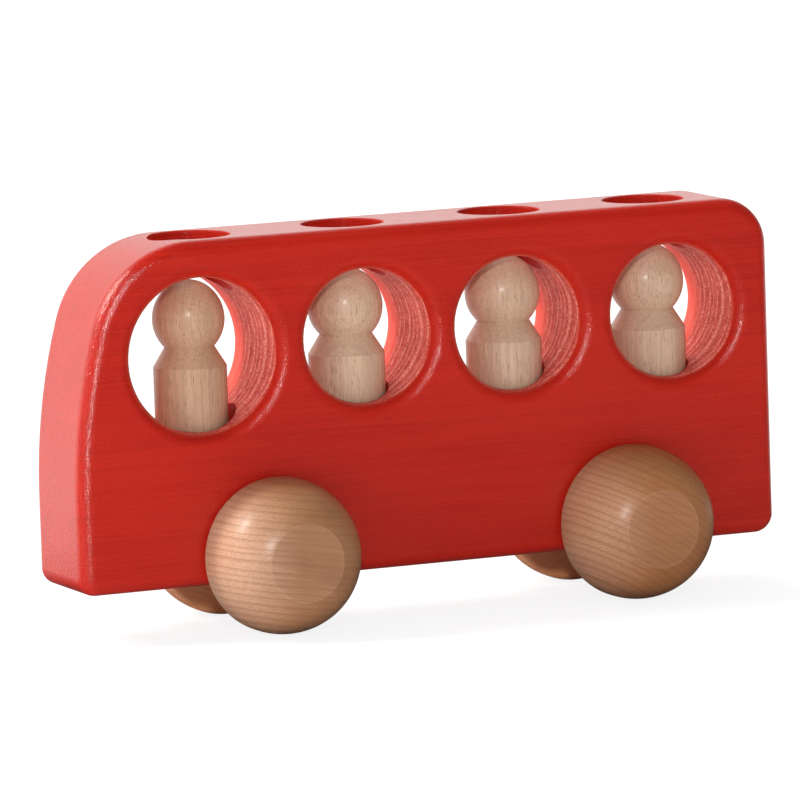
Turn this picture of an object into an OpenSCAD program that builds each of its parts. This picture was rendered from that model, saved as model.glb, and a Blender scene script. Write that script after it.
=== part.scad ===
// Wooden push-along bus with a driver and three passengers that lift out
// X points to the front of the bus, Y to its left side and Z up; the wheels stand on Z = 0

/* [Body] */
// Length of the body
body_length = 270; // [266:1:300]
// Height of the body from its underside to its roof
body_height = 122.6; // [117:0.2:134]
// Thickness of the board that the body is cut from
body_thickness = 44.4; // [40:0.2:52]
// Radius rounded over on the edges of the body and of its windows
edge_round = 5; // [3:0.5:5]
// Radius of the corner between the roof and the back
rear_top_round = 17.5; // [10:0.5:24]
// Radius of the corner between the back and the underside
rear_bottom_round = 7; // [6:0.5:10]
// Radius of the corner between the front and the underside
front_bottom_round = 6; // [6:0.5:10]

/* [Front] */
// Radius of the gentle lean in the lower front
front_low_radius = 222.5; // [200:2.5:260]
// Radius of the corner between the front and the roof
front_crown_radius = 39; // [34:0.5:44]

/* [Windows] */
// Diameter of the three passenger windows
window_d = 48.2; // [42:0.2:48.2]
// Diameter of the driver's window
driver_window_d = 55.2; // [50:0.2:58]
// Drop from the roof to the middle of the passenger windows
window_drop = 39; // [36:0.5:44]
// Drop from the roof to the middle of the driver's window
driver_window_drop = 41; // [39:0.2:46]
// Places of the windows along the body, from the driver's window back
window_places = [85.7, 22.6, -35.8, -96.9]; // [-100:0.1:90]

/* [Figures] */
// Places of the figures' bores along the body, from the driver back
figure_places = [81.8, 22.8, -38.2, -95.4]; // [-100:0.1:90]
// How far each figure leans forward in its loose bore, as a share of its own play
figure_shift_shares = [0.8, 0, -0.5, -0.5]; // [-0.6:0.1:0.8]
// Height of each figure
figure_height = 65.4; // [58:0.2:74]
// Height of the oval head
head_height = 27.8; // [26:0.2:30]
// How far a head is turned below the radius of its figure's body
head_trim = 0.2; // [0.1:0.1:0.8]
// Diameter of a passenger's body
passenger_d = 27.4; // [25:0.2:28]
// Diameter of a passenger's neck
passenger_neck_d = 18.8; // [16:0.2:22]
// Diameter of the driver's body
driver_d = 26.2; // [24:0.2:28]
// Diameter of the driver's neck
driver_neck_d = 17.8; // [15:0.2:21]
// Drop from the top of the head to the edge of the shoulder
shoulder_drop = 30.4; // [28:0.2:36]
// Radius of the edge of the shoulder and of the foot
figure_edge_round = 0.5; // [0.3:0.1:2]
// Drop from the roof to the top of the heads
head_drop = 15.8; // [10:0.2:24]
// Radius rounded over on the edges of the figures' bores in the roof
bore_edge_round = 0.8; // [0.4:0.1:1.4]

/* [Wheels] */
// Diameter of the wheels at their widest part
wheel_d = 55.6; // [50:0.2:60]
// Reach of a wheel from its widest part to its flat outer face
wheel_reach = 24.2; // [22:0.1:25]
// Depth of a wheel from its widest part to its inner face
wheel_seat = 4.8; // [3:0.1:10]
// Radius of a wheel's tread, along its axle
wheel_tread_radius = 34; // [32:0.5:50]
// Radius of a wheel's shoulder, between its tread and its outer face
wheel_shoulder_radius = 19.5; // [18:0.5:24]
// Angle from the widest part where the tread ends
wheel_tread_angle = 24; // [20:1:32]
// Radius of the edge between the tread and the inner face
wheel_edge_round = 2.4; // [1:0.2:2.8]
// Places of the front and rear axle along the body
axle_places = [62, -75.7]; // [-90:0.1:80]
// Diameter of the axle dowels
axle_d = 10; // [8:0.5:12]
// Height of the axles above the underside of the body
axle_rise = 9.7; // [9:0.1:16]
// Depth of the blind hole in each wheel
wheel_bore_depth = 20; // [12:0.5:25]

/* [Fits] */
// Free play round a figure in its bore
figure_play = 0.9; // [0.8:0.1:1.5]
// Running clearance round an axle in the body
axle_play = 0.1; // [0.05:0.05:0.4]
// Gap between a wheel and the side of the body
wheel_gap = 0.8; // [0.5:0.1:2]
// Room left for glue beyond the end of an axle in its wheel
glue_room = 0.5; // [0.2:0.1:1]

/* [Hidden] */
$fn = 96;
red = [0.72, 0.10, 0.09];
oak = [0.74, 0.56, 0.36];
beech = [0.86, 0.72, 0.52];
// Length by which a cutter runs past the face that it cuts
cut_past = 2;
// Length by which the cutter of an edge runs on into the next tighter bend
cut_overlap = 0.5;
// Direction in which the front faces where its lean meets its crown, from a triangle of 7, 24 and 25
lean_end = [0.96, 0.28];
// Direction in which a head faces where its side meets its crown, from a triangle of 3, 4 and 5
crown_start = [0.6, 0.8];
// Two points closer than this are one point
same_point = 0.001;

wheel_radius = wheel_d / 2;
underside = wheel_radius - axle_rise;
roof = underside + body_height;
front = body_length / 2;
back = -front;
side = body_thickness / 2;
figure_bore_d = max(passenger_d, driver_d) + 2 * figure_play;
figure_floor = roof - head_drop - figure_height;
wheel_face = side + wheel_gap;
wheel_middle = wheel_face + wheel_seat;
axle_length = 2 * (wheel_face + wheel_bore_depth - glue_room);

// Unit step in the direction of an angle
function toward(angle) = [cos(angle), sin(angle)];

// An outline is a list of arcs [centre, radius, start angle, end angle] joined by straight lines
function corner(point) = [point, 0, 0, 0];
function arc_start(arc) = arc[0] + arc[1] * toward(arc[2]);
function arc_end(arc) = arc[0] + arc[1] * toward(arc[3]);
function next_arc(arcs, i) = arcs[(i + 1) % len(arcs)];
function apart(p, q) = norm(p - q) > same_point;
function outline_points(arcs) = [for (arc = arcs) each [arc_start(arc), arc_end(arc)]];
function distinct(points) = [for (i = [0:len(points) - 1]) if (apart(points[i], points[(i + 1) % len(points)])) points[i]];

// Slice of a disc between the two ends of an arc: its root is the arc's centre, or nearer where the arc is shallow
module sector(arc) {
    half_span = (arc[3] - arc[2]) / 2;
    root = arc[0] + arc[1] * max(0, cos(half_span) - sin(half_span)) * toward(arc[2] + half_span);
    outside = [for (step = [0:4]) arc[0] + 2 * arc[1] * toward(arc[2] + half_span * step / 2)];
    intersection() {
        translate(arc[0]) circle(r = arc[1]);
        polygon([root, arc_start(arc), each outside, arc_end(arc)]);
    }
}

// Area inside an outline
module outline(arcs) {
    polygon(distinct(outline_points(arcs)));
    for (arc = arcs) if (arc[1] > 0) sector(arc);
}

// Side view of the body, with X along the bus and Y as its height
lean_angle = atan2(lean_end[1], lean_end[0]);
crown_centre = [
    front - front_low_radius + (front_low_radius - front_crown_radius) * lean_end[0],
    roof - front_crown_radius
];
low_centre = crown_centre - (front_low_radius - front_crown_radius) * lean_end;
body_outline = [
    [low_centre, front_low_radius, 0, lean_angle],
    [crown_centre, front_crown_radius, lean_angle, 90],
    [[back + rear_top_round, roof - rear_top_round], rear_top_round, 90, 180],
    [[back + rear_bottom_round, underside + rear_bottom_round], rear_bottom_round, 180, 270],
    [[front - front_bottom_round, underside + front_bottom_round], front_bottom_round, 270, 360]
];

// Stands a drawing up so that its Y becomes height and its thickness runs along Y
module upright() {
    rotate([90, 0, 0]) children();
}

// Cross-section of the waste cut from an edge: the edge itself is at the origin
module edge_waste(round = edge_round) {
    difference() {
        translate([-round, -round]) square(round + cut_past);
        translate([-round, -round]) circle(r = round);
    }
}

// Waste cut from both edges of the body along one arc of its outline, or a little past the end of the arc
module arc_waste(arc, past = 0) {
    past_angle = past / arc[1] * 180 / PI;
    step_angle = (arc[3] - arc[2] + past_angle) / 4;
    intersection() {
        for (face = [0, 1]) mirror([0, 0, face])
            translate(arc[0]) rotate_extrude() translate([arc[1], side]) edge_waste();
        translate([0, 0, -side - cut_past]) linear_extrude(body_thickness + 2 * cut_past)
            polygon([arc[0], for (step = [0:4]) arc[0] + 2 * arc[1] * toward(arc[2] + step_angle * step)]);
    }
}

// Waste cut from both edges of the body along the straight line after one arc of its outline
module line_waste(i) {
    from = arc_end(body_outline[i]);
    along = arc_start(next_arc(body_outline, i)) - from;
    for (face = [0, 1]) mirror([0, 0, face])
        translate(from) rotate(atan2(along[1], along[0])) rotate([90, 0, 90])
            translate([0, 0, -cut_overlap]) linear_extrude(norm(along) + 2 * cut_overlap)
                translate([0, side]) mirror([1, 0]) edge_waste();
}

// Board cut to the outline with its edges rounded over: each cutter runs on into the next tighter bend, which is cut after it
module rounded_board() {
    lean = 0;
    crown = 1;
    difference() {
        difference() {
            difference() {
                translate([0, 0, -side]) linear_extrude(body_thickness) outline(body_outline);
                for (i = [0:len(body_outline) - 1])
                    if (apart(arc_end(body_outline[i]), arc_start(next_arc(body_outline, i)))) line_waste(i);
            }
            arc_waste(body_outline[lean], cut_overlap);
            for (i = [crown + 1:len(body_outline) - 1]) arc_waste(body_outline[i]);
        }
        arc_waste(body_outline[crown]);
    }
}

// Round window bored through the body, with its edges rounded over
module window(place, drop, diameter) {
    radius = diameter / 2;
    translate([place, roof - drop]) rotate_extrude() {
        translate([0, -side - cut_past]) square([radius, body_thickness + 2 * cut_past]);
        for (face = [0, 1]) mirror([0, face]) translate([radius, side]) mirror([1, 0]) edge_waste();
    }
}

// Blind round hole bored down from the roof for one figure, with its upper edge rounded over
module figure_bore(place) {
    radius = figure_bore_d / 2;
    translate([place, 0, 0]) rotate_extrude() {
        translate([0, figure_floor]) square([radius, roof - figure_floor + cut_past]);
        translate([radius, roof]) mirror([1, 0]) edge_waste(bore_edge_round);
    }
}

module bus_body() {
    color(red) difference() {
        upright() rounded_board();
        upright() for (i = [0:3])
            window(window_places[i], i == 0 ? driver_window_drop : window_drop, i == 0 ? driver_window_d : window_d);
        for (place = figure_places) figure_bore(place);
        for (place = axle_places) translate([place, side + cut_past, wheel_radius]) rotate([90, 0, 0])
            cylinder(d = axle_d + 2 * axle_play, h = body_thickness + 2 * cut_past);
    }
}

module axle(place) {
    color(beech) translate([place, axle_length / 2, wheel_radius]) rotate([90, 0, 0])
        cylinder(d = axle_d, h = axle_length);
}

// Half cross-section of a wheel: X is the radius and Y the reach outward from its widest part
tread_centre = [wheel_radius - wheel_tread_radius, 0];
shoulder_centre = tread_centre + (wheel_tread_radius - wheel_shoulder_radius) * toward(wheel_tread_angle);
shoulder_end = asin((wheel_reach - shoulder_centre[1]) / wheel_shoulder_radius);
wheel_outline = [
    corner([0, -wheel_seat]),
    [[wheel_radius - wheel_edge_round, wheel_edge_round - wheel_seat], wheel_edge_round, -90, 0],
    [tread_centre, wheel_tread_radius, 0, wheel_tread_angle],
    [shoulder_centre, wheel_shoulder_radius, wheel_tread_angle, shoulder_end],
    corner([0, wheel_reach])
];

module wheel(place, hand) {
    color(oak) translate([place, hand * wheel_middle, wheel_radius]) rotate([-90 * hand, 0, 0]) difference() {
        rotate_extrude() outline(wheel_outline);
        translate([0, 0, -wheel_seat - cut_past]) cylinder(d = axle_d, h = wheel_bore_depth + cut_past);
    }
}

// A head is an oval: its sides bend about one radius and its crown about a smaller one that meets them smoothly
head_middle = figure_height - head_height / 2;
shoulder_height = figure_height - shoulder_drop;
crown_angle = atan2(crown_start[1], crown_start[0]);
function head_radius(figure_d) = figure_d / 2 - head_trim;
function head_stretch(figure_d) = (head_height / 2 - head_radius(figure_d)) / (crown_start[0] + crown_start[1] - 1);
function head_side_radius(figure_d) = head_radius(figure_d) + crown_start[0] * head_stretch(figure_d);
function head_side_centre(figure_d) = [head_radius(figure_d) - head_side_radius(figure_d), head_middle];
function head_crown_radius(figure_d) = head_side_radius(figure_d) - head_stretch(figure_d);
function neck_angle(figure_d, neck_d) =
    -acos((neck_d / 2 - head_side_centre(figure_d)[0]) / head_side_radius(figure_d));

// Half cross-section of a figure: X is the radius and Y the height above its foot
function figure_outline(figure_d, neck_d) = [
    corner([0, 0]),
    [[figure_d / 2 - figure_edge_round, figure_edge_round], figure_edge_round, -90, 0],
    [[figure_d / 2 - figure_edge_round, shoulder_height - figure_edge_round], figure_edge_round, 0,
        shoulder_slope(figure_d, neck_d)],
    [head_side_centre(figure_d), head_side_radius(figure_d), neck_angle(figure_d, neck_d), 0],
    [head_side_centre(figure_d), head_side_radius(figure_d), 0, crown_angle],
    [[0, figure_height - head_crown_radius(figure_d)], head_crown_radius(figure_d), crown_angle, 90]
];
// Direction of the outward face of the shoulder's cone
function shoulder_slope(figure_d, neck_d) = atan2(
    (figure_d - neck_d) / 2,
    head_middle + head_side_radius(figure_d) * sin(neck_angle(figure_d, neck_d)) - shoulder_height
);

module figure(seat, figure_d, neck_d) {
    shift = figure_shift_shares[seat] * (figure_bore_d - figure_d) / 2;
    color(beech) translate([figure_places[seat] + shift, 0, figure_floor])
        rotate_extrude() outline(figure_outline(figure_d, neck_d));
}

module front_axle() axle(axle_places[0]);
module rear_axle() axle(axle_places[1]);
module front_left_wheel() wheel(axle_places[0], 1);
module front_right_wheel() wheel(axle_places[0], -1);
module rear_left_wheel() wheel(axle_places[1], 1);
module rear_right_wheel() wheel(axle_places[1], -1);
module driver() figure(0, driver_d, driver_neck_d);
module passenger_1() figure(1, passenger_d, passenger_neck_d);
module passenger_2() figure(2, passenger_d, passenger_neck_d);
module passenger_3() figure(3, passenger_d, passenger_neck_d);

bus_body();
front_axle();
rear_axle();
front_left_wheel();
front_right_wheel();
rear_left_wheel();
rear_right_wheel();
driver();
passenger_1();
passenger_2();
passenger_3();
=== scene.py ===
import math

import bpy
from mathutils import Matrix, Vector


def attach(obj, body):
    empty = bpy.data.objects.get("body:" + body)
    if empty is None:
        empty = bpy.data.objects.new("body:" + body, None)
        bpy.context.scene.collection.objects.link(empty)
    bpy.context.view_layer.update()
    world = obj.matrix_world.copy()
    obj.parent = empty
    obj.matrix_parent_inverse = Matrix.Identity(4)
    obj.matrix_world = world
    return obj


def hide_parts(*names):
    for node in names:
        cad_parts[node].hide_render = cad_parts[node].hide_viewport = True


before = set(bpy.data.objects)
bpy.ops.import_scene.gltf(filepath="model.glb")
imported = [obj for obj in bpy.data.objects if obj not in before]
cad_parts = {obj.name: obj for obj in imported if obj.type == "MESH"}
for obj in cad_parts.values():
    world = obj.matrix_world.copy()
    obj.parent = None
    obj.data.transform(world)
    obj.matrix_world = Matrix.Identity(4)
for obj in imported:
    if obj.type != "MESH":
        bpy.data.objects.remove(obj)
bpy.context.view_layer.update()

# Sizes of the solids that the materials and the turned pieces follow, in metres
side_y = 0.0222
edge_round = 0.005
bores = (0.0818, 0.0228, -0.0382, -0.0954)
bore_radius = 0.0146
front_axle_x = 0.062
rear_axle_x = -0.0757
wheel_rise = 0.0278
wheel_middle = 0.0278
wheel_reach = 0.0242
wheel_face_radius = 0.0138

# X, Z and radius of each window
windows = (
    (0.0857, 0.0997, 0.0276),
    (0.0226, 0.1017, 0.0241),
    (-0.0358, 0.1017, 0.0241),
    (-0.0969, 0.1017, 0.0241),
)


def colour(red, green, blue):
    return (red, green, blue, 1.0)


class Nodes:
    """A node tree, with short ways to add to it."""

    def __init__(self, tree):
        self.tree = tree

    def join(self, value, socket):
        """Links a socket to another one, or sets it to a plain value."""
        if isinstance(value, bpy.types.NodeSocket):
            self.tree.links.new(value, socket)
        else:
            socket.default_value = value

    def put(self, kind, sockets=None, **settings):
        """Adds a node with its settings and the values of its sockets."""
        made = self.tree.nodes.new(kind)
        for name, value in settings.items():
            setattr(made, name, value)
        for key, value in (sockets or {}).items():
            self.join(value, made.inputs[key])
        return made

    def work_out(self, kind, *terms):
        return self.put("ShaderNodeMath", dict(enumerate(terms)), operation=kind).outputs[0]

    def add(self, first, second):
        return self.work_out("ADD", first, second)

    def times(self, first, second):
        return self.work_out("MULTIPLY", first, second)

    def larger(self, first, second):
        return self.work_out("MAXIMUM", first, second)

    def fraction(self, value):
        return self.work_out("FRACT", value)

    def reach(self, u, middle_u, v, middle_v):
        """Distance in a plane from a middle."""
        away_u = self.work_out("SUBTRACT", u, middle_u)
        away_v = self.work_out("SUBTRACT", v, middle_v)
        return self.work_out("SQRT", self.add(self.times(away_u, away_u), self.times(away_v, away_v)))

    def ease(self, value, low, high, first=0.0, last=1.0, shape="SMOOTHSTEP"):
        """first below low, last above high, and a change of that shape between them."""
        sockets = {"Value": value, "From Min": low, "From Max": high, "To Min": first, "To Max": last}
        return self.put("ShaderNodeMapRange", sockets, interpolation_type=shape).outputs["Result"]

    def blend(self, share, first, last):
        return self.ease(share, 0.0, 1.0, first, last)

    def choose(self, flag, yes, no):
        return self.put("ShaderNodeMix", {0: flag, 2: no, 3: yes}, data_type="FLOAT").outputs[0]


class Recipe(Nodes):
    """One material's node tree, with the coordinates and patterns that the woods are made of."""

    def __init__(self, name):
        self.material = bpy.data.materials.new(name)
        self.material.use_nodes = True
        super().__init__(self.material.node_tree)
        self.shader = self.tree.nodes["Principled BSDF"]
        self.place = self.put("ShaderNodeTexCoord").outputs["Object"]
        self.x, self.y, self.z = self.split(self.place)

    def split(self, place):
        return self.put("ShaderNodeSeparateXYZ", {0: place}).outputs

    def point(self, x, y, z):
        return self.put("ShaderNodeCombineXYZ", {0: x, 1: y, 2: z}).outputs[0]

    def stretch(self, per_metre, turn=(0, 0, 0), shift=(0, 0, 0), place=None):
        """Coordinates counted in features per metre along each axis, turned about the origin."""
        sockets = {"Vector": place or self.place, "Location": shift, "Rotation": turn, "Scale": per_metre}
        return self.put("ShaderNodeMapping", sockets, vector_type="POINT").outputs[0]

    def noise(self, place, detail, rough=0.5):
        sockets = {"Vector": place, "Scale": 1.0, "Detail": detail, "Roughness": rough}
        return self.put("ShaderNodeTexNoise", sockets).outputs["Fac"]

    def mix(self, share, first, second):
        """Mixes two colours."""
        return self.put("ShaderNodeMix", {0: share, 6: first, 7: second}, data_type="RGBA").outputs[2]

    def bump(self, height, depth, strength, before=None):
        sockets = {"Height": height, "Distance": depth, "Strength": strength}
        if before is not None:
            sockets["Normal"] = before
        return self.put("ShaderNodeBump", sockets).outputs[0]

    def give(self, **sockets):
        """Sets the shader's own sockets, or links them."""
        for name, value in sockets.items():
            self.join(value, self.shader.inputs[name.replace("_", " ")])


def body_places(r):
    """Shares from 0 to 1: on a window's wall, in any hollow, and on the rounded front edges."""
    roof_edge = (0.128, 0.138)
    front_part = (0.08, 0.1)
    rim = (0.0038, 0.0045)
    wall = 0.0
    front_edge = r.times(r.ease(r.z, *roof_edge, 1.0, 0.0), r.ease(r.x, *front_part))
    for x, z, radius in windows:
        reach = r.reach(r.x, x, r.z, z)
        wall = r.larger(wall, r.ease(reach, radius + 0.0001, radius + 0.0006, 1.0, 0.0))
        front_edge = r.times(front_edge, r.ease(reach, radius + rim[0], radius + rim[1]))

    out = r.work_out("ABSOLUTE", r.y)
    front_edge = r.times(front_edge, r.ease(out, side_y - edge_round, side_y - 0.7 * edge_round))
    front_edge = r.times(front_edge, r.ease(out, side_y - 0.00025, side_y - 0.00005, 1.0, 0.0))

    hollow = wall
    bore_edge = (bore_radius + 0.0001, bore_radius + 0.0005)
    for x in bores:
        reach = r.reach(r.x, x, r.y, 0.0)
        wall = r.times(wall, r.ease(reach, *bore_edge))
        hollow = r.larger(hollow, r.ease(reach, *bore_edge, 0.8, 0.0))
    return wall, hollow, front_edge


def cut_wood(r):
    """Colour and height of the windows' walls: pale dashed lines, pores, and far in an even coral band of
    painted light, where the key lamp shines through the far opening.
    """
    coral = colour(0.55, 0.067, 0.049)
    pale_coral = colour(0.71, 0.127, 0.093)
    deep = colour(0.4, 0.035, 0.026)
    pore_dark = colour(0.3, 0.025, 0.02)
    pore_pale = colour(0.9, 0.4, 0.34)
    line_pale = colour(0.86, 0.4, 0.34)
    # Painted light: the bright coral of the walls' far part, where the key lamp's light falls
    painted_light_coral = colour(0.82, 0.115, 0.085)
    layers_per_metre = 250
    lean = -0.16

    sway = r.times(r.noise(r.stretch((26, 26, 26)), detail=2), 0.006)
    depth = r.add(r.add(r.y, r.times(r.z, lean)), sway)
    spread = r.noise(r.point(0.0, r.times(depth, 120), 0.0), detail=1)
    saw = r.fraction(r.add(r.times(depth, layers_per_metre), r.times(spread, 2.0)))
    pore = r.noise(r.stretch((1300, 1300, 1300)), detail=2, rough=0.6)
    mottle = r.noise(r.stretch((300, 500, 300)), detail=2)
    line = r.times(r.ease(saw, 0.62, 0.86), r.ease(saw, 0.9, 1.0, 1.0, 0.0))
    line = r.times(line, r.ease(pore, 0.6, 0.42, 0.15, 1.0))

    cut = r.mix(r.ease(mottle, 0.35, 0.65), coral, pale_coral)
    cut = r.mix(r.ease(saw, 0.0, 0.5, 0.35, 0.0), cut, deep)
    cut = r.mix(r.times(line, 0.7), cut, line_pale)
    cut = r.mix(r.ease(pore, 0.57, 0.68, 0.0, 0.55), cut, pore_dark)
    cut = r.mix(r.ease(pore, 0.3, 0.42, 0.6, 0.0), cut, pore_pale)
    # Painted light: far in, the walls are painted an even, bright coral over the lines, for the key lamp's
    # light through the far opening
    far_light_band = r.ease(r.add(r.y, sway), -0.009, -0.003, 1.0, 0.0)
    cut = r.mix(r.times(far_light_band, 0.8), cut, painted_light_coral)
    return cut, r.add(pore, r.times(line, 0.5))


def red_lacquer():
    """Red lacquer over wood with its grain along the bus and its layers upright, parallel to the sides."""
    deep_red = colour(0.365, 0.0075, 0.0035)
    plain_red = colour(0.45, 0.0145, 0.0058)
    band_red = colour(0.475, 0.0135, 0.0055)
    layer_red = colour(0.515, 0.021, 0.0085)

    r = Recipe("red_lacquer")
    streak = r.noise(r.stretch((18, 300, 1900)), detail=3, rough=0.62)
    band = r.noise(r.stretch((4, 60, 240)), detail=3, rough=0.55)
    layer = r.noise(r.stretch((6, 900, 20)), detail=3, rough=0.6)
    plain = r.mix(r.ease(streak, 0.3, 0.72), deep_red, plain_red)
    plain = r.mix(r.ease(band, 0.35, 0.68, 0.0, 0.5), plain, band_red)
    plain = r.mix(r.ease(layer, 0.4, 0.68, 0.0, 0.4), plain, layer_red)
    wall, hollow, front_edge = body_places(r)
    cut, cut_height = cut_wood(r)

    # Fine grain and, on the walls, pores; over them the lacquer's own uneven skin
    grain_depth = 0.00006
    skin_depth = 0.0003
    fine = r.noise(r.stretch((220, 1900, 1900)), detail=3, rough=0.65)
    skin = r.noise(r.stretch((1500, 1500, 1500)), detail=2)
    height = r.add(fine, r.times(cut_height, r.times(wall, 3.0)))
    normal = r.bump(height, grain_depth, 0.6)
    normal = r.bump(skin, skin_depth, r.blend(front_edge, 0.7, 0.9), normal)
    r.give(Base_Color=r.mix(wall, plain, cut), Normal=normal)
    r.give(Roughness=r.blend(hollow, 0.3, 0.65), IOR=r.blend(hollow, 1.36, 1.18))

    # The coat is thin in the hollows and thick on the front edges
    r.give(Coat_Weight=r.add(r.blend(hollow, 0.7, 0.04), r.times(front_edge, 0.3)))
    r.give(Coat_Roughness=r.blend(front_edge, 0.15, 0.2), Coat_IOR=r.blend(front_edge, 1.48, 1.72))
    r.give(Coat_Normal=normal, Coat_Tint=colour(1.0, 0.84, 0.74))
    return r.material


def sanding_and_painted_sheen_share(r, wheel_x):
    """Share of paler colour on a wheel's flat outer face, partly wood paler from sanding and partly a painted
    sheen, and, more, on its edge, a painted highlight.
    """
    face_y = wheel_middle + wheel_reach
    reach = r.reach(r.x, wheel_x, r.z, wheel_rise)
    outer = r.ease(r.work_out("ABSOLUTE", r.y), face_y - 0.002, face_y - 0.0008)
    face = r.ease(reach, wheel_face_radius - 0.0002, wheel_face_radius + 0.0003, 0.05, 0.0)
    from_edge = r.work_out("ABSOLUTE", r.work_out("SUBTRACT", reach, wheel_face_radius))
    # Painted highlight: a paler ring along the outer face's edge
    edge = r.ease(from_edge, 0.0001, 0.0005, 0.1, 0.0)
    return r.times(outer, r.add(face, edge))


def pale_wood(name, turn, shift, tints, ring, fleck_share, coat, wheel_x=None):
    """Clear-coated pale wood. The grain runs along the turned Z axis and the layers across the turned X.
    A wheel, with its axle at wheel_x, also has darker patches, a paler front that is painted light from the
    lamps on that side, and an outer face paler from sanding and a painted sheen, with a painted highlight
    along its edge."""
    # Painted light: the paler colour of a wheel's front, towards the lamps
    painted_light_front = colour(0.82, 0.51, 0.37)
    # Wood paler from sanding, also used as a painted sheen and a painted highlight on the outer face
    sanding_and_painted_sheen = colour(0.66, 0.42, 0.31)
    is_wheel = wheel_x is not None
    dark, middle, light, fleck_dark = tints

    r = Recipe(name)
    place = r.stretch((1, 1, 1), turn=turn, shift=shift)
    across, _, along = r.split(place)
    sway = r.noise(r.stretch((30, 30, 9), place=place), detail=2)
    bow = r.times(r.times(along, along), ring["bow"])
    across = r.add(r.add(across, bow), r.times(sway, 0.0028))
    spread = r.noise(r.point(r.times(across, 140), 0.0, 0.0), detail=1)
    phase = r.add(r.times(across, ring["count"]), r.times(spread, 1.8))
    saw = r.fraction(phase)
    line = r.times(r.ease(saw, 0.45, 0.88), r.ease(saw, 0.92, 1.0, 1.0, 0.0))
    thin = r.ease(r.fraction(r.times(phase, 2.7)), 0.5, 0.95, 0.0, 0.45)
    line = r.larger(line, thin)
    streak = r.noise(r.stretch((1700, 1700, 40), place=place), detail=3, rough=0.6)
    cloud = r.noise(r.stretch((70, 70, 22), place=place), detail=2)
    fleck = r.noise(r.stretch((2600, 2600, 240), place=place), detail=1)
    fleck_from, fleck_depth = fleck_share
    mark = r.ease(fleck, fleck_from, fleck_from + 0.08, 0.0, fleck_depth)

    body = r.mix(r.ease(cloud, 0.3, 0.7), middle, light)
    if is_wheel:
        stain = r.noise(r.stretch((55, 55, 34), place=place, shift=(3, 1, 2)), detail=2)
        body = r.mix(r.ease(stain, 0.52, 0.72, 0.0, 0.4), body, dark)
        # Painted light: the wheel grows paler towards its front, where the lamps shine on it
        body = r.mix(r.ease(r.x, wheel_x, wheel_x + 0.026, 0.0, ring["painted_light_front"]), body, painted_light_front)
    body = r.mix(r.ease(streak, 0.36, 0.68, 0.3 if is_wheel else 0.45, 0.0), body, dark)
    body = r.mix(r.times(line, ring["depth"]), body, dark)
    body = r.mix(mark, body, fleck_dark)
    if is_wheel:
        # Outer face paler from sanding and a painted sheen, with a painted highlight along its edge
        body = r.mix(sanding_and_painted_sheen_share(r, wheel_x), body, sanding_and_painted_sheen)

    grain_depth = 0.00005
    height = r.work_out("SUBTRACT", streak, r.times(mark, 0.9))
    normal = r.bump(height, grain_depth, 0.04 if is_wheel else 0.3)
    r.give(Base_Color=body, Normal=normal, Roughness=0.5, IOR=1.35)
    r.give(Coat_Weight=coat, Coat_Roughness=0.32 if is_wheel else 0.24)
    r.give(Coat_IOR=1.4, Coat_Normal=normal)
    return r.material


def dress(piece, material):
    """Gives a piece one material, in all the slots that it has."""
    slots = piece.data.materials
    if len(slots) == 0:
        slots.append(material)
    for i in range(len(slots)):
        slots[i] = material


# Turned pieces: the same outlines as the solids, in finer steps and with crisp edges
turn_steps = 144
arc_step = math.radians(2.5)


def arc(centre, radius, start, end):
    """Points of an arc, with angles in radians."""
    steps = max(2, math.ceil(abs(end - start) / arc_step))
    angles = [start + (end - start) * i / steps for i in range(steps + 1)]
    return [(centre[0] + radius * math.cos(a), centre[1] + radius * math.sin(a)) for a in angles]


def turned(name, outline, place, axes, crease):
    """Turns an outline of (radius, height) points about its axis. The axes are the directions of X, Y and
    height, and edges sharper than the crease, in degrees, stay crisp."""
    points = [outline[0]]
    for p in outline[1:]:
        if math.hypot(p[0] - points[-1][0], p[1] - points[-1][1]) > 1e-7:
            points.append(p)

    corners = []
    rings = []
    for radius, height in points:
        if radius < 1e-9:
            rings.append([len(corners)])
            corners.append((0.0, 0.0, height))
            continue
        rings.append([])
        for step in range(turn_steps):
            angle = 2 * math.pi * step / turn_steps
            rings[-1].append(len(corners))
            corners.append((radius * math.cos(angle), radius * math.sin(angle), height))

    faces = []
    for low, high in zip(rings, rings[1:]):
        for step in range(turn_steps):
            after = (step + 1) % turn_steps
            if len(low) == 1:
                faces.append((low[0], high[after], high[step]))
            elif len(high) == 1:
                faces.append((low[step], low[after], high[0]))
            else:
                faces.append((low[step], low[after], high[after], high[step]))

    across, over, up = (Vector(a) for a in axes)
    spots = [Vector(place) + across * c[0] + over * c[1] + up * c[2] for c in corners]
    mesh = bpy.data.meshes.new(name)
    mesh.from_pydata(spots, [], faces)
    mesh.shade_smooth()
    mesh.set_sharp_from_angle(angle=math.radians(crease))
    made = bpy.data.objects.new(name, mesh)
    bpy.context.scene.collection.objects.link(made)
    return made


# Figures: sizes, X, radius and neck radius of each, and their woods from dark to light with the flecks last
figure_floor = 0.0595
figure_height = 0.0654
head_height = 0.0278
head_inset = 0.0002
shoulder_height = 0.035
foot_round = 0.0005
figures = {
    "driver": (0.083, 0.0131, 0.0089),
    "passenger_1": (0.0228, 0.0137, 0.0094),
    "passenger_2": (-0.03865, 0.0137, 0.0094),
    "passenger_3": (-0.09585, 0.0137, 0.0094),
}
beech = (
    colour(0.42, 0.265, 0.173),
    colour(0.56, 0.377, 0.258),
    colour(0.632, 0.442, 0.312),
    colour(0.22, 0.118, 0.064),
)
driver_beech = (
    colour(0.36, 0.205, 0.118),
    colour(0.485, 0.295, 0.185),
    colour(0.555, 0.35, 0.228),
    colour(0.17, 0.08, 0.04),
)


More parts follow.
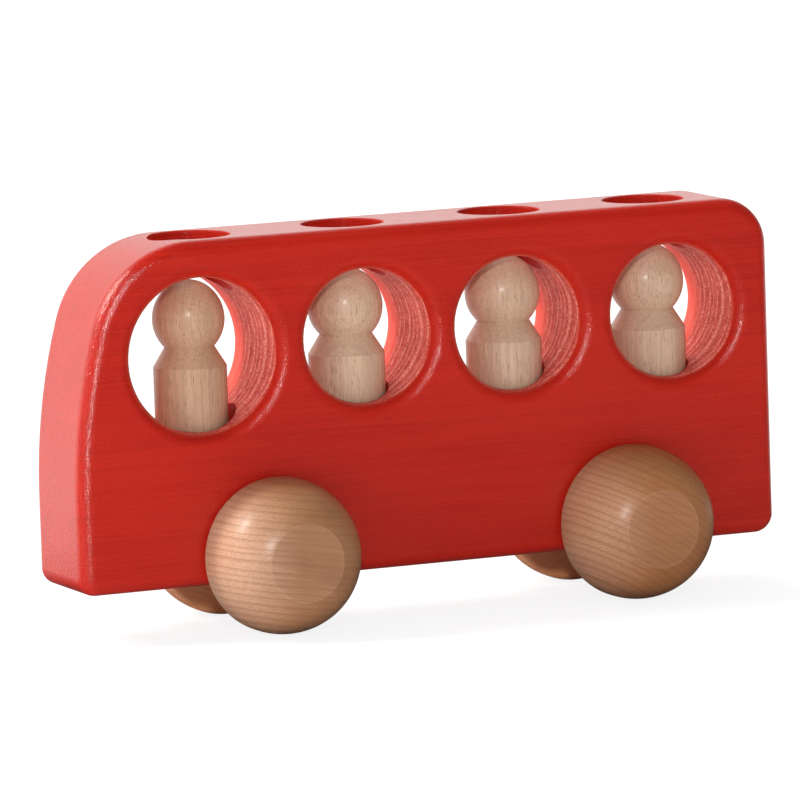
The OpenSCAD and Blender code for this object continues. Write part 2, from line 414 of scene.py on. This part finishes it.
def figure_outline(radius, neck):
    """A peg: foot, body, cone up to the neck, and an oval head of two arcs that meet at the crown's turn."""
    crown_cos = 0.6
    crown_sin = 0.8
    crown_turn = math.atan2(crown_sin, crown_cos)
    head = radius - head_inset
    stretch = (head_height / 2 - head) / (crown_cos + crown_sin - 1)
    side = head + crown_cos * stretch
    crown = side - stretch
    middle = (head - side, figure_height - head_height / 2)
    neck_turn = -math.acos((neck - middle[0]) / side)
    neck_height = middle[1] + side * math.sin(neck_turn)
    slope = math.atan2(radius - neck, neck_height - shoulder_height)
    points = [(0, 0)]
    points += arc((radius - foot_round, foot_round), foot_round, -math.pi / 2, 0)
    points += arc((radius - foot_round, shoulder_height - foot_round), foot_round, 0, slope)
    points += arc(middle, side, neck_turn, crown_turn)
    points += arc((0, figure_height - crown), crown, crown_turn, math.pi / 2)
    points[-1] = (0, figure_height)
    return points


def place_figures():
    """Each figure is cut from another place in the wood and turned another way."""
    upright = ((1, 0, 0), (0, 1, 0), (0, 0, 1))
    ring = {"count": 330, "bow": 0.0, "depth": 0.28}
    for number, (seat, (x, radius, neck)) in enumerate(figures.items()):
        peg = turned("turned_" + seat, figure_outline(radius, neck), (x, 0, figure_floor), upright, crease=25)
        turn = (0, 0, 0.7 + 1.3 * number)
        shift = (0.11 * number, 0.07 * number, 0)
        tints = driver_beech if seat == "driver" else beech
        dress(peg, pale_wood("peg_wood_%d" % number, turn, shift, tints, ring, (0.6, 0.5), coat=0.5))
        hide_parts(seat)
        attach(peg, seat)


# Wheels: cut with the grain along X and the layers nearly level, in tints that are dark, middle and light.
# The right-hand wheels get lighter tints: painted light, standing in for the light that the body's shade
# keeps from them.
# Painted light: each wheel's front is painted paler by the share given with it
wheels = {
    "front_left_wheel": {
        "x": front_axle_x,
        "hand": 1,
        "tilt": 0.25,
        "bow": 0.7,
        "painted_light_front": 0.55,
        "tints": ((0.235, 0.1, 0.037), (0.35, 0.162, 0.074), (0.405, 0.197, 0.096)),
    },
    "front_right_wheel": {
        "x": front_axle_x,
        "hand": -1,
        "tilt": 0.5,
        "bow": 1.2,
        "painted_light_front": 0.1,
        # Painted light: lighter tints for this far wheel in the body's shade
        "tints": ((0.42, 0.165, 0.062), (0.54, 0.225, 0.092), (0.6, 0.265, 0.115)),
    },
    "rear_left_wheel": {
        "x": rear_axle_x,
        "hand": 1,
        "tilt": 0.2,
        "bow": 2.6,
        "painted_light_front": 0.38,
        "tints": ((0.222, 0.075, 0.019), (0.33, 0.128, 0.042), (0.384, 0.157, 0.057)),
    },
    "rear_right_wheel": {
        "x": rear_axle_x,
        "hand": -1,
        "tilt": -0.7,
        "bow": 1.4,
        "painted_light_front": 0.1,
        # Painted light: lighter tints for this far wheel in the body's shade
        "tints": ((0.43, 0.16, 0.06), (0.55, 0.22, 0.09), (0.61, 0.26, 0.112)),
    },
}
fleck_shade = (0.6, 0.55, 0.5)


def wheel_outline():
    """A wheel from its blind hole round its inner face, tread and shoulder to its outer face."""
    seat = 0.0048
    rim = 0.0024
    tread = 0.034
    tread_turn = math.radians(24)
    shoulder = 0.0195
    hole = 0.005
    hole_depth = 0.02
    worn = 0.0016
    tread_middle = (wheel_rise - tread, 0)
    inward = tread - shoulder
    middle = (tread_middle[0] + inward * math.cos(tread_turn), inward * math.sin(tread_turn))
    worn_rise = wheel_reach - worn
    worn_out = middle[0] + math.sqrt((shoulder - worn) ** 2 - (worn_rise - middle[1]) ** 2)
    worn_turn = math.atan2(worn_rise - middle[1], worn_out - middle[0])
    points = [(0, hole_depth - seat), (hole, hole_depth - seat), (hole, -seat)]
    points += arc((wheel_rise - rim, rim - seat), rim, -math.pi / 2, 0)
    points += arc(tread_middle, tread, 0, tread_turn)
    points += arc(middle, shoulder, tread_turn, worn_turn)
    points += arc((worn_out, worn_rise), worn, worn_turn, math.pi / 2)
    points.append((0, wheel_reach))
    return points


def place_wheels():
    for name, kind in wheels.items():
        x = kind["x"]
        hand = kind["hand"]
        axes = ((1, 0, 0), (0, 0, -hand), (0, hand, 0))
        place = (x, hand * wheel_middle, wheel_rise)
        wheel = turned("turned_" + name, wheel_outline(), place, axes, crease=32)
        ring = {"count": 400, "bow": kind["bow"], "depth": 0.42, "painted_light_front": kind["painted_light_front"]}
        turn = (0, math.pi / 2 + kind["tilt"], 0)
        tints = [colour(*tint) for tint in kind["tints"]]
        tints.append(colour(*(a * b for a, b in zip(fleck_shade, kind["tints"][0]))))
        dress(wheel, pale_wood(name + "_wood", turn, (0, 0, 0), tints, ring, (0.66, 0.3), 0.75, x))
        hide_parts(name)
        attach(wheel, "front_wheelset" if x > 0 else "rear_wheelset")


def dress_board_and_axles():
    dress(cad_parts["bus_body"], red_lacquer())
    ring = {"count": 400, "bow": 0.0, "depth": 0.4}
    along_y = (math.pi / 2, 0, 0)
    for axle in ("front_axle", "rear_axle"):
        wood = pale_wood(axle + "_wood", along_y, (0, 0, 0), beech, ring, (0.62, 0.5), coat=0.1)
        dress(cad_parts[axle], wood)


def lay_floor():
    """A white floor. The camera sees it glow, with a faint shadow, and it lights the bus as white paint does.
    Reflections show it white behind the bus and dark in front."""
    half = 12.0
    height = -0.0002
    corners = [(-half, -half, height), (half, -half, height), (half, half, height), (-half, half, height)]
    mesh = bpy.data.meshes.new("floor")
    mesh.from_pydata(corners, [], [(0, 1, 2, 3)])
    floor = bpy.data.objects.new("floor", mesh)
    bpy.context.scene.collection.objects.link(floor)

    material = bpy.data.materials.new("floor_white")
    material.use_nodes = True
    material.node_tree.nodes.clear()
    n = Nodes(material.node_tree)
    path = n.put("ShaderNodeLightPath").outputs
    place = n.put("ShaderNodeTexCoord").outputs["Object"]
    y = n.put("ShaderNodeSeparateXYZ", {0: place}).outputs["Y"]
    far = n.put("ShaderNodeVectorMath", {0: place}, operation="LENGTH").outputs["Value"]
    paint = n.put("ShaderNodeBsdfDiffuse", {"Color": colour(0.92, 0.92, 0.92)}).outputs[0]
    shaded = n.put("ShaderNodeBsdfDiffuse", {"Color": colour(0.17, 0.17, 0.17)}).outputs[0]
    glow_level = n.ease(far, 0.2, 0.9, 0.86, 1.0, "LINEAR")
    glow = n.put("ShaderNodeEmission", {"Strength": glow_level}).outputs[0]
    white = n.put("ShaderNodeAddShader", {0: shaded, 1: glow}).outputs[0]
    mirrored_level = n.ease(y, -0.2, -0.06, 1.0, 0.05, "LINEAR")
    mirrored = n.put("ShaderNodeEmission", {"Strength": mirrored_level}).outputs[0]
    seen = n.larger(path["Is Camera Ray"], path["Is Transmission Ray"])
    look = n.put("ShaderNodeMixShader", {0: seen, 1: paint, 2: white}).outputs[0]
    look = n.put("ShaderNodeMixShader", {0: path["Is Glossy Ray"], 1: look, 2: mirrored}).outputs[0]
    n.put("ShaderNodeOutputMaterial", {"Surface": look})
    floor.data.materials.append(material)


def light_world():
    """A white background. Its light and its reflections are white behind the bus and darker in front."""
    world = bpy.data.worlds.new("studio")
    bpy.context.scene.world = world
    world.use_nodes = True
    n = Nodes(world.node_tree)
    background = world.node_tree.nodes["Background"].inputs
    background["Color"].default_value = colour(1, 1, 1)
    path = n.put("ShaderNodeLightPath").outputs
    place = n.put("ShaderNodeTexCoord").outputs["Generated"]
    y = n.put("ShaderNodeSeparateXYZ", {0: place}).outputs["Y"]
    light = n.ease(y, -0.35, 0.25, 1.25, 0.32)
    mirrored = n.ease(y, -0.86, -0.45, 1.0, 0.05)
    level = n.choose(path["Is Glossy Ray"], mirrored, light)
    level = n.choose(path["Is Transmission Ray"], 1.0, level)
    level = n.choose(path["Is Camera Ray"], 1.0, level)
    n.join(level, background["Strength"])


lamp_aim = (0, 0, 0.07)


def lamp(name, place, size, watts, shine=True, tint=(1, 1, 1)):
    data = bpy.data.lights.new(name, "AREA")
    data.shape = "RECTANGLE"
    data.size, data.size_y = size
    data.energy = watts
    data.color = tint
    made = bpy.data.objects.new(name, data)
    made.location = place
    made.rotation_mode = "QUATERNION"
    made.rotation_quaternion = (Vector(lamp_aim) - Vector(place)).to_track_quat("-Z", "Y")
    made.visible_glossy = shine
    bpy.context.scene.collection.objects.link(made)


def set_camera():
    """The camera fitted to the photograph: its place, its turn and its focal length in pixels."""
    place = (1.13987, 2.65242, 0.45037)
    across = math.radians(23.208247)
    rise = math.radians(7.405084)
    roll = math.radians(1.892757)
    focal_pixels = 8128.66
    picture_pixels = 800
    sensor = 36.0

    data = bpy.data.cameras.new("camera")
    data.sensor_width = sensor
    data.lens = focal_pixels / picture_pixels * sensor
    data.clip_start = 0.1
    data.clip_end = 60.0
    ahead = Vector((math.sin(across), math.cos(across), 0))
    overhead = Vector((0, 0, 1))
    towards = math.cos(rise) * ahead + math.sin(rise) * overhead
    level_up = math.cos(rise) * overhead - math.sin(rise) * ahead
    level_right = Vector((-math.cos(across), math.sin(across), 0))
    right = math.cos(roll) * level_right - math.sin(roll) * level_up
    up = math.sin(roll) * level_right + math.cos(roll) * level_up
    axes = Matrix((right, up, towards)).transposed().to_4x4()
    made = bpy.data.objects.new("camera", data)
    made.matrix_world = Matrix.Translation(place) @ axes
    bpy.context.scene.collection.objects.link(made)
    bpy.context.scene.camera = made


place_figures()
place_wheels()
dress_board_and_axles()
lay_floor()
light_world()
lamp("key", (1.57, -0.4, 1.4), (0.16, 0.55), 24.5, tint=(1.0, 0.98, 0.9))
lamp("flash", (0.99, 2.3, 0.79), (0.13, 0.13), 25.0)
lamp("left", (0.75, 0.32, 0.1), (0.3, 0.3), 1.6, shine=False)
lamp("top", (0.1, -1.5, 1.8), (1.0, 1.0), 31.0, shine=False)
set_camera()
bpy.context.scene.view_settings.view_transform = "Standard"
